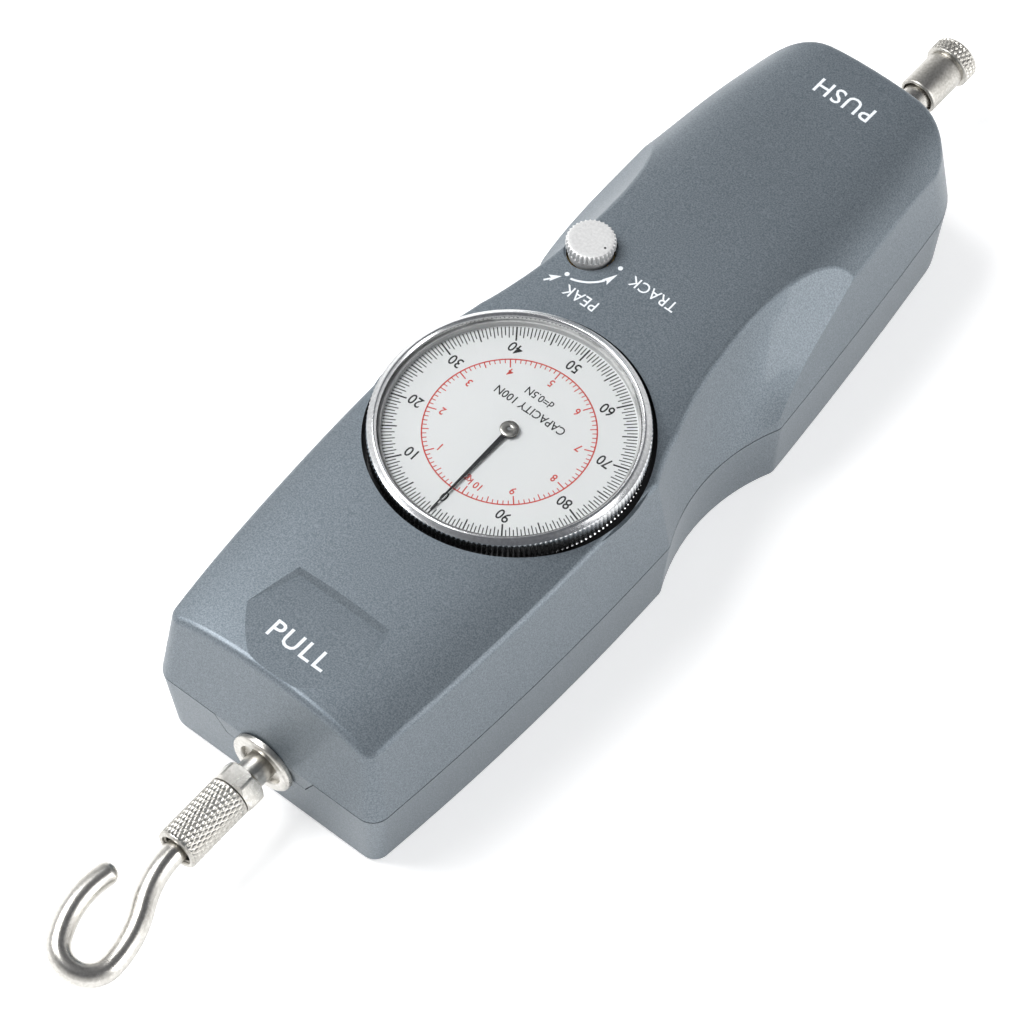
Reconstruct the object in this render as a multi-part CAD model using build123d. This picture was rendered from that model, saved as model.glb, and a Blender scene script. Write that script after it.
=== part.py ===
from build123d import *
import os
from math import cos, sin, tan, pi, radians, sqrt, acos, atan2

os.makedirs("parts", exist_ok=True)

# ---------------------------------------------------------------------------
# Mechanical push/pull force gauge, 100 N, 10 mm stroke.
# Origin on the back plane under the dial axis. +Z leaves the dial, +Y runs
# along the measuring shaft towards the push end, +X is the right-hand side.
# All sizes in millimetres.
# ---------------------------------------------------------------------------

# clearances
seat_gap = 0.3          # between held pieces that do not quite touch
run_gap = 0.06          # radial play of a shaft in its bush
tooth_play = 0.09       # thinning of every gear tooth at the pitch line

# housing
wall = 2.2
half_width = 30.0       # widest, at the parting line beside the dial
front_y = -70.5
rear_y = 114.8
parting_z = 17.5
upper_draft = 7.5
lower_draft = 5.0
shoulder_y = 10.5
waist_y = 27.7
waist_half = 25.8
hip_y = 44.7
hip_half = 29.6
front_half = 26.4
rear_half = 22.6
flank_half = 29.4
flank_y = -33.0
grip_half = 27.3
grip_y = 72.0
rear_bulge = 1.2
rear_corner = 14.0
front_corner = 3.8
crown_ref = 27.0

# measuring shaft
shaft_z = 13.5
shaft_r = 3.0
shaft_front = -88.0
shaft_rear = 138.6
stroke = 10.0

# dial group, sized from the width of the housing
pocket_r = half_width - 2.7
collar_r = pocket_r + 0.8
bezel_r = pocket_r - 0.8
bezel_band_r = bezel_r - 0.3
lip_r = bezel_r - 2.5
lip_top_r = lip_r + 0.6
dial_r = lip_r + 0.3
skirt_r = lip_r - 1.0
skirt_in = skirt_r - 1.4
dial_top = 40.15
dial_thick = 0.5
pocket_floor = 37.2
collar_top = 37.35
bezel_bottom = 37.5
bezel_shoulder = 41.95
bezel_top = 42.8
lens_z = 41.45
lens_thick = 0.85
skirt_bottom = 33.9

# movement
module = 0.5
idler_x = 9.5
idler_teeth = 14
wheel_teeth = 44
centre_teeth = 20
lower_z = 21.0
upper_z = 30.5
plate_thick = 1.5
pillars = [(-18.5, 14.0), (16.0, 28.0), (17.0, -9.0), (-14.0, -14.0)]

# knob
knob_x = -14.6
knob_y = 41.9
knob_r = 4.85
knob_top = 43.3
knob_hole = 4.75       # hole through the cover
knob_seat = 5.2        # shallow recess round the hole
knob_seat_z = 39.05
boss_z = 35.2          # underside of the cover round the hole
bush_flange_r = 5.9
press = 2.0

# hook
wire_r = 2.3
hook_tilt = 15.0


def cyl(x, y, z0, z1, r):
    """Upright round post from z0 to z1."""
    return Pos(x, y, (z0 + z1) / 2) * Cylinder(r, z1 - z0)


def tube(x, y, z0, z1, r_out, r_in):
    """Upright ring."""
    return cyl(x, y, z0, z1, r_out) - cyl(x, y, z0 - 1, z1 + 1, r_in)


def rod(y0, y1, r, x=0.0, z=shaft_z):
    """Round bar lying along Y."""
    return Pos(x, (y0 + y1) / 2, z) * Rot(90, 0, 0) * Cylinder(r, y1 - y0)


def sleeve(y0, y1, r_out, r_in):
    """Ring on the shaft axis."""
    return rod(y0, y1, r_out) - rod(y0 - 1, y1 + 1, r_in)


def block(x0, x1, y0, y1, z0, z1):
    """Rectangular block between two corners."""
    mid = ((x0 + x1) / 2, (y0 + y1) / 2, (z0 + z1) / 2)
    return Pos(*mid) * Box(x1 - x0, y1 - y0, z1 - z0)


def one(shape):
    """The single solid inside a shape."""
    found = shape.solids()
    return max(found, key=lambda s: s.volume)


def save(shape, name):
    """Write one node to its STEP file."""
    export_step(shape, "parts/" + name + ".step")


# ---------------------------------------------------------------------------
# housing
# ---------------------------------------------------------------------------

def outline(inset, z):
    """Plan outline of the housing, waisted between dial and grip."""
    fy = front_y + inset
    ry = rear_y - inset
    corner = (front_half - inset, fy)
    shoulder = (half_width - inset, shoulder_y - 0.3 * inset)
    hip = (hip_half - inset, hip_y + 0.3 * inset)
    heel = (rear_half - inset, ry - rear_bulge)
    half = [
        Line((0, fy), corner).edge(),
        ThreePointArc(corner, (flank_half - inset, flank_y), shoulder).edge(),
        ThreePointArc(shoulder, (waist_half - inset, waist_y), hip).edge(),
        ThreePointArc(hip, (grip_half - inset, grip_y), heel).edge(),
    ]
    other = [e.mirror(Plane.YZ) for e in half]
    rear = ThreePointArc(heel, (0, ry), (-heel[0], heel[1])).edge()
    face = make_face([*half, *other, rear])
    rounds = [
        (corner, front_corner - 0.4 * inset),
        (shoulder, 1.6),
        (hip, 2.5),
        (heel, rear_corner - inset),
    ]
    for point, radius in rounds:
        near = [
            v for v in face.vertices()
            if abs(abs(v.X) - point[0]) < 0.01 and abs(v.Y - point[1]) < 0.01
        ]
        face = fillet(near, max(radius, 0.3))
    return Pos(0, 0, z) * face


def frustum(z0, z1, inset0, inset1):
    """Drafted body between two insets of the outline."""
    return one(loft([outline(inset0, z0), outline(inset1, z1)], ruled=True))


# crown sections: y, centre height and drop terms (square, fourth, sixth power)
crown_sections = [
    (-76, 39.2, 4.4, 3.0, 0.0),
    (-68, 39.8, 3.4, 2.4, 0.0),
    (-56, 40.1, 2.0, 2.0, 0.4),
    (-40, 40.3, 1.2, 1.6, 1.0),
    (-5, 40.5, 0.95, 1.75, 0.2),
    (18, 40.5, 1.0, 1.9, 0.4),
    (34, 40.5, 0.9, 1.9, 0.8),
    (48, 40.4, 0.7, 2.2, 1.0),
    (60, 40.2, 0.6, 3.4, 2.0),
    (75, 39.6, 0.5, 5.6, 3.6),
    (97, 38.2, 0.4, 7.8, 6.2),
    (122, 35.8, 0.3, 8.2, 7.0),
]
# thumb scoops: y, reach at the parting plane, reach at scoop_high, hollow
scoop_high = 38.0
scoop_sections = [
    (9.0, half_width + 0.9, half_width - 0.4, 0.0),
    (11.2, half_width, half_width - 1.4, 0.0),
    (14.0, half_width - 1.4, half_width - 3.0, 0.0),
    (18.0, half_width - 2.9, half_width - 5.2, 0.0),
    (23.0, waist_half + 0.3, waist_half - 2.9, 0.0),
    (29.0, waist_half, waist_half - 4.4, 0.0),
    (35.0, waist_half + 0.7, waist_half - 5.4, 0.0),
    (41.0, hip_half - 1.0, hip_half - 9.8, -0.4),
    (46.0, hip_half + 2.4, hip_half - 10.2, -1.0),
    (52.0, hip_half + 6.4, hip_half - 10.3, -1.4),
    (60.0, hip_half + 10.4, hip_half - 10.0, -1.6),
    (70.0, hip_half + 12.4, hip_half - 8.8, -1.4),
    (82.0, hip_half + 13.4, hip_half - 7.0, -1.0),
    (96.0, hip_half + 13.4, hip_half - 4.0, -0.6),
    (112.0, hip_half + 13.4, hip_half - 0.6, -0.4),
]


def crown(lower):
    """Crowned body that trims the drafted sides; lowered for the inside."""
    reach = max(half_width, hip_half, flank_half) + 1.5
    foot = -2 * reach
    square = [1, 1 / 3, -1 / 15, -1 / 5, -1 / 15, 1 / 3, 1]
    fourth = [1, -1 / 3, -1 / 15, 1 / 5, -1 / 15, -1 / 3, 1]
    sixth = [1, -1, 1, -1, 1, -1, 1]
    u = reach / crown_ref
    faces = []
    for y, z0, two, four, six in crown_sections:
        points = []
        for i in range(7):
            drop = two * u ** 2 * square[i]
            drop += four * u ** 4 * fourth[i]
            drop += six * u ** 6 * sixth[i]
            points.append((-reach + reach * i / 3, y, z0 - lower - drop))
        arch = Bezier(*points)
        base = Polyline(points[-1], (reach, y, foot), (-reach, y, foot), points[0])
        faces.append(make_face([arch.edge(), *base.edges()]))
    return one(loft(faces))


def scoop(move_in):
    """Cutter for the thumb scoop and its flare on the +X flank."""
    low, high, far = parting_z - 6.0, 48.0, 2 * hip_half
    rise = scoop_high - parting_z
    faces = []
    for y, at_low, at_high, hollow in scoop_sections:
        def x(z):
            t = (z - parting_z) / rise
            return at_low + (at_high - at_low) * t + 4 * hollow * t * (1 - t)
        middle = 2 * x((low + high) / 2) - (x(low) + x(high)) / 2
        start, end = (x(low), y, low), (x(high), y, high)
        wall_line = Bezier(start, (middle, y, (low + high) / 2), end)
        back = Polyline(end, (far, y, high), (far, y, low), start)
        faces.append(make_face([wall_line.edge(), *back.edges()]))
    return Pos(-0.87 * move_in, 0, -0.59 * move_in) * one(loft(faces))


def upper_body(inset):
    """Upper half of the housing form, inset evenly."""
    top = 46.0
    lean = (top - parting_z) * tan(radians(upper_draft))
    sides = frustum(parting_z, top, inset, inset + lean)
    right = scoop(inset)
    body = one(sides & crown(inset))
    return one(body - right - right.mirror(Plane.YZ))


upper_outer = upper_body(0.0)
upper_inner = upper_body(wall)
crown_round = 1.5
crown_face = max(
    [f for f in upper_outer.faces() if f.center().Z > 33 and f.geom_type != GeomType.PLANE],
    key=lambda f: f.area,
)
upper_outer = one(upper_outer.fillet(crown_round, crown_face.edges()))

lower_lean = parting_z * tan(radians(lower_draft))
lower_outer = frustum(0, parting_z, lower_lean, 0)
bottom_rim = [e for e in lower_outer.edges() if e.bounding_box().max.Z < 0.01]
lower_outer = one(lower_outer.fillet(1.3, bottom_rim))
lower_inner = frustum(wall, parting_z, lower_lean * 0.88 + wall, wall)

# round the shaft the upper cover reaches below the parting line
tab_depth = 4.6


def tab(grow):
    """Dovetailed tab round the shaft hole in the front face."""
    half = 9.4 + grow
    z = parting_z - tab_depth - grow
    pts = [(-half, z), (half, z), (half + 2.4, parting_z), (-half - 2.4, parting_z)]
    flat = make_face(Polyline(*pts, close=True))
    return extrude(Plane(origin=(0, front_y - 2, 0), x_dir=(1, 0, 0), z_dir=(0, -1, 0)) * flat, -(wall + 3.9))


tab_zone = block(-20, 20, front_y - 2, front_y + wall, 5, parting_z)
front_tab = (tab(0.0) & lower_outer) & tab_zone
front_slot = tab(0.15) & block(-20, 20, front_y - 2, front_y + wall + 1.5, 5, parting_z + 0.01)

# shallow groove all round where the two covers meet
groove_depth = 0.25
groove_half = 0.13


def groove(z0, z1):
    """Ring that trims the rim of one cover, leaving the tab alone."""
    band = extrude(outline(-1.0, z0), z1 - z0) - extrude(outline(groove_depth, z0), z1 - z0)
    return band - block(-11.7, 11.7, front_y - 5, front_y + 5, z0 - 1, z1 + 1)


# posts for the cover screws: x, y
post_front = (front_half - 5.6, front_y + 10.5)
post_rear = (rear_half - 5.8, rear_y - 19.8)
cover_posts = [(side * x, y) for x, y in (post_front, post_rear) for side in (-1, 1)]
post_r = 3.4
bush_hole = 5.7
rear_hole = 4.7

top_cover = upper_outer - upper_inner
well = cyl(0, 0, pocket_floor - 2.0, 46, pocket_r + 2.0) & upper_outer
collar = cyl(0, 0, pocket_floor - 2.0, collar_top, collar_r)
top_cover = top_cover + well + collar
knob_boss = cyl(knob_x, knob_y, boss_z, 46, 7.6) & upper_outer
top_cover = top_cover + knob_boss
top_cover = top_cover - cyl(knob_x, knob_y, boss_z - 3, boss_z, bush_flange_r + 0.06)
for x, y in cover_posts:
    post = cyl(x, y, parting_z, 46, post_r) & upper_outer
    top_cover = top_cover + post
top_cover = top_cover + front_tab
for x, y in cover_posts:
    top_cover = top_cover - cyl(x, y, parting_z - 1, 28.5, 1.55)
top_cover = top_cover - cyl(0, 0, pocket_floor, 60, pocket_r)
top_cover = top_cover - cyl(0, 0, 30, 60, skirt_r + 0.1)
top_cover = top_cover - cyl(knob_x, knob_y, 30, 60, knob_hole)
top_cover = top_cover - cyl(knob_x, knob_y, knob_seat_z, 60, knob_seat)
top_cover = top_cover - rod(front_y - 5, front_y + 12, bush_hole)
top_cover = top_cover - rod(rear_y - 12, rear_y + 5, rear_hole)
# finger flat in front of the dial: a trapezoid, deepest at its rear edge, running out to the front
flat_front = 16.5
flat_rear = 9.9
flat_y0 = front_y + 1.5
flat_y1 = front_y + 23.0
flat_z = 39.0
flat_rise = 2.2


def flat_outline(grow, z):
    """Trapezoid of the finger flat at one height."""
    points = [
        (-flat_front - grow, flat_y0),
        (flat_front + grow, flat_y0),
        (flat_rear + grow, flat_y1 + grow),
        (-flat_rear - grow, flat_y1 + grow),
    ]
    return Pos(0, 0, z) * make_face(Polyline(*points, close=True))


sunk = one(loft([flat_outline(-2.0, flat_z - 2), flat_outline(2.6, flat_z + 3)], ruled=True))
keep = Pos(0, flat_y1, flat_z) * Rot(-flat_rise, 0, 0) * Pos(0, 0, -20) * Box(80, 80, 40)
top_cover = top_cover - (sunk - keep)
top_cover = top_cover - groove(parting_z, parting_z + groove_half)
top_cover = one(top_cover)
save(top_cover, "top_cover")

# bottom cover: tray with screw posts, chassis bosses and insert bosses
insert_at = [(-12.5, -30.0), (12.5, -30.0), (-12.5, 50.0), (12.5, 50.0)]
chassis_at = [(-13.0, -56.0), (13.0, -56.0), (-9.5, 84.0), (9.5, 84.0)]
chassis_z = 4.2
insert_r = 2.9
insert_top = 3.9
head_seat = 9.0

bottom_cover = lower_outer - lower_inner
for x, y in cover_posts:
    bottom_cover = bottom_cover + (cyl(x, y, 0.5, parting_z, post_r) & lower_outer)
for x, y in chassis_at:
    bottom_cover = bottom_cover + cyl(x, y, 1.0, chassis_z, 3.6)
for x, y in insert_at:
    bottom_cover = bottom_cover + cyl(x, y, 1.0, insert_top, 5.0)
for x, y in cover_posts:
    bottom_cover = bottom_cover - cyl(x, y, -1, head_seat, 2.95)
    bottom_cover = bottom_cover - cyl(x, y, 0, parting_z + 1, 1.7)
for x, y in chassis_at:
    bottom_cover = bottom_cover - cyl(x, y, 1.2, 10, 1.45)
for x, y in insert_at:
    bottom_cover = bottom_cover - cyl(x, y, -1, 10, insert_r)
bottom_cover = bottom_cover - front_slot
bottom_cover = bottom_cover - rod(front_y - 5, front_y + 12, bush_hole)
bottom_cover = bottom_cover - rod(rear_y - 12, rear_y + 5, rear_hole)
bottom_cover = bottom_cover - groove(parting_z - groove_half, parting_z)
bottom_cover = one(bottom_cover)
save(bottom_cover, "bottom_cover")

inserts = []
for x, y in insert_at:
    inserts.append(one(tube(x, y, 0, insert_top, insert_r, 1.65)))
save(Compound(children=inserts), "mounting_inserts")

cover_screws = []
for x, y in cover_posts:
    head = cyl(x, y, head_seat - 2.4, head_seat, 2.75)
    shank = cyl(x, y, head_seat - 0.5, 27.5, 1.5)
    socket = Pos(x, y, head_seat - 2.4) * Cylinder(1.3, 2.4)
    cover_screws.append(one(head + shank - socket))
save(Compound(children=cover_screws), "cover_screws")

# ---------------------------------------------------------------------------
# chassis
# ---------------------------------------------------------------------------
base_thick = 2.0
base_top = chassis_z + base_thick
front_post_y = front_y + 3.6
rear_post_y = rear_y - 3.7
post_thick = 3.0
spring_seat_y = -47.5
seat_thick = 2.5

base_pts = [
    (-14, front_post_y), (14, front_post_y), (17, -50), (17, -24), (22.0, -20),
    (22.0, 8), (19.8, 22), (19.8, 34), (16, 40), (14.5, 82), (12, 90), (8.8, rear_post_y),
    (-8.8, rear_post_y), (-12, 90), (-14.5, 82), (-16, 40), (-19.8, 34), (-19.8, 22),
    (-22.0, 8), (-22.0, -20), (-17, -24), (-17, -50),
]
base = extrude(Plane((0, 0, chassis_z)) * make_face(Polyline(*base_pts, close=True)), base_thick)
front_post = block(-13, 13, front_post_y, front_post_y + post_thick, chassis_z, 21.5)
rear_post = block(-8.8, 8.8, rear_post_y - post_thick, rear_post_y, chassis_z, 20.5)
seat_post = block(-10.5, 10.5, spring_seat_y - seat_thick, spring_seat_y, chassis_z, 20.6)
seat_rib = block(-1.5, 1.5, spring_seat_y - 12, spring_seat_y, chassis_z, 8.2)
chassis = base + front_post + rear_post + seat_post + seat_rib
chassis = chassis - rod(front_post_y - 1, front_post_y + post_thick + 1, bush_hole)
chassis = chassis - rod(rear_post_y - post_thick - 1, rear_post_y + 1, rear_hole)
chassis = chassis - rod(spring_seat_y - seat_thick - 1, spring_seat_y + 1, shaft_r + 0.4)
for x, y in chassis_at:
    chassis = chassis - cyl(x, y, 0, 10, 1.6)
window = block(-6, 6, 44, 76, 0, 10) + block(-5, 5, -18, 6, 0, 10)
chassis = chassis - window
chassis = one(chassis)
save(chassis, "chassis")

chassis_screws = []
for x, y in chassis_at:
    head = cyl(x, y, base_top, base_top + 1.7, 2.7)
    shank = cyl(x, y, 1.6, base_top + 0.2, 1.4)
    chassis_screws.append(one(head + shank))
save(Compound(children=chassis_screws), "chassis_screws")

# guide bushes and their nuts
flange_front = front_y - 1.35
pull_bush = rod(flange_front, front_y - 0.03, 6.7) + rod(front_y - 0.5, front_post_y + post_thick + 3.2, 5.4)
flange_rim = pull_bush.edges().filter_by(GeomType.CIRCLE).sort_by(Axis.Y)[0]
pull_bush = chamfer(flange_rim, 0.5)
pull_bush = pull_bush - rod(flange_front - 1, 0, shaft_r + run_gap)
pull_bush = pull_bush - rod(flange_front - 1, flange_front + 2.0, shaft_r + 0.4)
for angle in (0, 90, 180, 270):
    notch = Pos(0, flange_front, shaft_z) * Rot(0, angle, 0) * Pos(6.7, 0, 0) * Box(1.2, 1.6, 1.6)
    pull_bush = pull_bush - notch
save(one(pull_bush), "pull_bush")

push_flange = rear_y + 1.2
push_bush = rod(rear_y + 0.03, push_flange, 5.8) + rod(rear_post_y - post_thick - 2.4, rear_y + 0.5, 4.4)
push_bush = push_bush - rod(80, 130, shaft_r + run_gap)
save(one(push_bush), "push_bush")


def hex_nut(y0, y1, flats, bore):
    """Hexagon nut on the shaft axis."""
    flat = RegularPolygon(flats / 2, 6, major_radius=False)
    lying = Plane(origin=(0, y0, shaft_z), x_dir=(1, 0, 0), z_dir=(0, 1, 0)) * flat
    return one(extrude(lying, y1 - y0) - rod(y0 - 1, y1 + 1, bore))


nut_y = front_post_y + post_thick
push_nut_y = rear_post_y - post_thick
bush_nuts = [hex_nut(nut_y, nut_y + 2.6, 13.8, 5.45), hex_nut(push_nut_y - 2.4, push_nut_y, 12, 4.45)]
save(Compound(children=bush_nuts), "bush_nuts")

# ---------------------------------------------------------------------------
# measuring shaft and what rides on it
# ---------------------------------------------------------------------------
shaft = rod(shaft_front, shaft_rear, shaft_r)
tips = [e for e in shaft.edges().filter_by(GeomType.CIRCLE)]
shaft = chamfer(tips, 0.5)
save(one(shaft), "measuring_shaft")

collar_y = 12.2
collar_len = 5.0
spring_collar = sleeve(collar_y, collar_y + collar_len, 6.9, shaft_r + 0.02)
spring_collar = spring_collar - cyl(0, collar_y + 3.0, 3, shaft_z, 1.05)
save(one(spring_collar), "spring_collar")
collar_screw = cyl(0, collar_y + 3.0, 7.2, shaft_z - shaft_r - 0.02, 1.0)
save(one(collar_screw), "collar_screw")

wire = 0.95
coil_r = 5.6
turns = 9


def coil(y0, y1, radius, wire_radius, count, place):
    """Round-wire spring, its ends laid on the two seats."""
    height = (y1 - y0) - 2 * wire_radius
    path = Helix(pitch=height / count, height=height, radius=radius)
    start = path.edge()
    plane = Plane(origin=start @ 0, z_dir=start % 0)
    ring = plane * RegularPolygon(wire_radius, 8)
    body = sweep(ring, path=start, is_frenet=True)
    return place * Pos(0, 0, wire_radius) * body


spring_place = Pos(0, spring_seat_y, shaft_z) * Rot(-90, 0, 0)
main_spring = coil(0, collar_y - spring_seat_y, coil_r, wire, turns, spring_place)
save(one(main_spring), "main_spring")

# rack carrier: clamp block with an arm that rises through the lower plate
carrier_y0 = 17.6
carrier_y1 = 28.6
rack_y0 = 7.6
rack_pitch_x = idler_x - idler_teeth * module / 2
rack_z0 = 22.9
rack_z1 = 25.9
arm_x0 = 2.4
arm_x1 = 5.0
carrier = block(-5.2, 5.2, carrier_y0, carrier_y1, shaft_z - 5.2, shaft_z + 5.2)
carrier = carrier + block(arm_x0, arm_x1, carrier_y0, carrier_y1, shaft_z, rack_z0)
carrier = carrier - rod(0, 60, shaft_r + 0.02)
carrier = carrier - block(-0.5, 0.5, 0, 60, 0, shaft_z)
clamp_y = (carrier_y0 + carrier_y1) / 2
carrier = carrier - Pos(0, clamp_y, shaft_z - 4.2) * Rot(0, 90, 0) * Cylinder(0.85, 40)
carrier = one(carrier)
save(carrier, "rack_carrier")
clamp_screw = Pos(0, clamp_y, shaft_z - 4.2) * Rot(0, 90, 0) * Cylinder(0.8, 11.6)
clamp_head = Pos(6.1, clamp_y, shaft_z - 4.2) * Rot(0, 90, 0) * Cylinder(1.6, 1.8)
save(one(clamp_screw + clamp_head), "clamp_screw")


def involute(r, base):
    """Polar angle and radius on an involute."""
    a = acos(min(1.0, base / r))
    return tan(a) - a


def gear_face(teeth, add, ded, phase):
    """Outline of a spur gear with thinned involute teeth."""
    pitch_r = teeth * module / 2
    base = pitch_r * cos(radians(20))
    tip = pitch_r + add
    root = pitch_r - ded
    half = (pi * module / 2 - tooth_play) / 2 / pitch_r
    lead = half + involute(pitch_r, base)
    low = max(base, root)
    radii = [low + (tip - low) * k / 3 for k in range(4)]
    points = []
    for t in range(teeth):
        mid = phase + 2 * pi * t / teeth
        left = [(r, -(lead - involute(r, base))) for r in radii]
        right = [(r, -a) for r, a in reversed(left)]
        ring = left + right
        if root < base:
            ring = [(root, -lead)] + ring + [(root, lead)]
        for r, a in ring:
            points.append((r * cos(mid + a), r * sin(mid + a)))
    return make_face(Polyline(*points, close=True))


def gear(teeth, x, y, z0, z1, bore, phase, add=0.45, ded=0.6):
    """Spur gear standing at x, y."""
    body = extrude(Plane((x, y, z0)) * gear_face(teeth, add, ded, phase), z1 - z0)
    return body - cyl(x, y, z0 - 1, z1 + 1, bore)


idler_y = sqrt(((wheel_teeth + centre_teeth) * module / 2) ** 2 - idler_x ** 2)
pitch = pi * module

# rack: a tooth centre lies level with the idler when the pinion shows a gap
tooth_n = 12
rack_pts = []
first = idler_y - pitch * 3
half_tooth = (pitch / 2 - tooth_play) / 2
slope = tan(radians(20))
rack_pts.append((arm_x0, rack_y0))
rack_root = rack_pitch_x - 0.6
rack_tip = rack_pitch_x + 0.4
rack_pts.append((rack_root, rack_y0))
for k in range(tooth_n):
    c = first + pitch * k
    wide = half_tooth + 0.6 * slope
    slim = half_tooth - 0.4 * slope
    if c - wide < rack_y0 + 0.1 or c + wide > carrier_y1 - 0.1:
        continue
    rack_pts.append((rack_root, c - wide))
    rack_pts.append((rack_tip, c - slim))
    rack_pts.append((rack_tip, c + slim))
    rack_pts.append((rack_root, c + wide))
rack_pts.append((rack_root, carrier_y1))
rack_pts.append((arm_x0, carrier_y1))
rack = extrude(Plane((0, 0, rack_z0)) * make_face(Polyline(*rack_pts, close=True)), rack_z1 - rack_z0)
rack_screw_y = (19.8, 26.4)
rack_screws = []
for y in rack_screw_y:
    rack = rack - cyl(3.7, y, rack_z0 - 1, rack_z1 + 1, 0.62)
    pin = cyl(3.7, y, rack_z0 + 0.2, rack_z1 + 0.1, 0.58) + cyl(3.7, y, rack_z1, rack_z1 + 0.7, 1.1)
    rack_screws.append(one(pin))
save(one(rack), "rack")
save(Compound(children=rack_screws), "rack_screws")

# rest stop at the push end: clamped ring and rubber buffer
buffer_y0 = 101.6
buffer_y1 = push_nut_y - 2.4 - 0.3
save(one(sleeve(buffer_y0, buffer_y1, 5.8, shaft_r + 0.5)), "stop_buffer")
stop_collar = sleeve(buffer_y0 - 4.3, buffer_y0 - seat_gap, 5.6, shaft_r + 0.02)
save(one(stop_collar), "stop_collar")

# ---------------------------------------------------------------------------
# movement
# ---------------------------------------------------------------------------
spots = [Pos(x, y) * Circle(3.6) for x, y in pillars]
plate = make_hull([e for s in spots for e in s.edges()])
slot_x0 = arm_x0 - 0.25
slot_x1 = arm_x1 + 0.25
slot_y0 = carrier_y0 - stroke - 0.8
slot_y1 = carrier_y1 + 0.8
bush_r = 2.1
arbor_r = 0.9
idler_r = 1.2

lower_plate = extrude(Plane((0, 0, lower_z)) * plate, plate_thick)
lower_plate = lower_plate - block(slot_x0, slot_x1, slot_y0, slot_y1, 15, 26)
upper_plate = extrude(Plane((0, 0, upper_z)) * plate, plate_thick)
bushes = []
for x, y, r in ((0, 0, arbor_r), (idler_x, idler_y, idler_r)):
    for z in (lower_z, upper_z):
        zone = cyl(x, y, z - 1, z + plate_thick + 1, bush_r)
        if z == lower_z:
            lower_plate = lower_plate - zone
        else:
            upper_plate = upper_plate - zone
        bushes.append(one(tube(x, y, z, z + plate_thick, bush_r, r + run_gap)))
for x, y in pillars:
    lower_plate = lower_plate - cyl(x, y, 15, 26, 1.1)
    upper_plate = upper_plate - cyl(x, y, 28, 36, 1.1)
lever_x = -11.0
lever_y = 12.0
stud_x = 8.0
stud_y = -5.0
upper_plate = upper_plate - cyl(lever_x, lever_y, 28, 36, 0.9)
upper_plate = upper_plate - cyl(stud_x, stud_y, 28, 36, 0.75)
save(one(lower_plate), "lower_plate")
save(one(upper_plate), "upper_plate")
save(Compound(children=bushes), "arbor_bushes")

low_posts = []
high_posts = []
plate_screws = []
for x, y in pillars:
    low_posts.append(one(tube(x, y, base_top, lower_z, 2.4, 0.9)))
    high_posts.append(one(tube(x, y, lower_z + plate_thick, upper_z, 2.1, 0.9)))
    top = upper_z + plate_thick
    plate_screws.append(one(cyl(x, y, top, top + 1.2, 1.9) + cyl(x, y, 15, top + 0.1, 0.85)))
save(Compound(children=low_posts), "chassis_pillars")
save(Compound(children=high_posts), "movement_pillars")
save(Compound(children=plate_screws), "movement_screws")

# idler: pinion on the rack, wheel on the centre pinion
step = 2 * pi / idler_teeth
idler_pinion = gear(idler_teeth, idler_x, idler_y, 22.8, 26.4, idler_r + 0.02, pi + step / 2)
save(one(idler_pinion), "idler_pinion")
line = atan2(-idler_y, -idler_x)
idler_wheel = gear(wheel_teeth, idler_x, idler_y, 27.0, 28.4, idler_r + 0.02, line)
for k in range(5):
    a = 2 * pi * k / 5 + 0.3
    idler_wheel = idler_wheel - cyl(idler_x + 6.3 * cos(a), idler_y + 6.3 * sin(a), 26, 30, 2.2)
save(one(idler_wheel), "idler_wheel")
idler_arbor = cyl(idler_x, idler_y, lower_z - 0.2, upper_z + plate_thick + 0.2, idler_r)
save(one(idler_arbor), "idler_arbor")

# centre arbor with pinion, brake wheel, hairspring collet and pointer
centre_step = 2 * pi / centre_teeth
pointer_pinion = gear(centre_teeth, 0, 0, 26.7, 28.8, arbor_r + 0.02, line + pi + centre_step / 2)
save(one(pointer_pinion), "pointer_pinion")
pointer_arbor = cyl(0, 0, lower_z - 0.2, 40.95, arbor_r)
save(one(pointer_arbor), "pointer_arbor")
brake_r = 7.5
brake_z0 = upper_z + plate_thick + 0.3
brake_z1 = brake_z0 + 1.0
brake = cyl(0, 0, brake_z0, brake_z1, brake_r) + cyl(0, 0, brake_z0, brake_z1 + 1.0, 2.2)
brake = brake - cyl(0, 0, 30, 40, arbor_r + 0.02)
save(one(brake), "brake_wheel")
collet_z0 = 35.0
collet_z1 = 36.2
save(one(tube(0, 0, collet_z0, collet_z1, 1.9, arbor_r + 0.02)), "hairspring_collet")
stud = cyl(stud_x, stud_y, upper_z, collet_z1 + 0.2, 0.7)
stud = stud + cyl(stud_x, stud_y, upper_z + plate_thick, 33.0, 1.3)
save(one(stud), "hairspring_stud")

hair_pts = []
stud_turn = atan2(stud_y, stud_x)
stud_reach = sqrt(stud_x ** 2 + stud_y ** 2) - 0.9
hair_turns = 3.5
steps = 56
for k in range(steps + 1):
    t = k / steps
    r = 2.15 + (stud_reach - 2.15) * t
    a = stud_turn - 2 * pi * hair_turns * (1 - t)
    hair_pts.append((r, a))
hair_half = 0.12
outer_line = [((r + hair_half) * cos(a), (r + hair_half) * sin(a)) for r, a in hair_pts]
inner_line = [((r - hair_half) * cos(a), (r - hair_half) * sin(a)) for r, a in reversed(hair_pts)]
hair = make_face(Polyline(*outer_line, *inner_line, close=True))
hairspring = extrude(Plane((0, 0, collet_z0 + 0.2)) * hair, 0.8)
save(one(hairspring), "hairspring")

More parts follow.
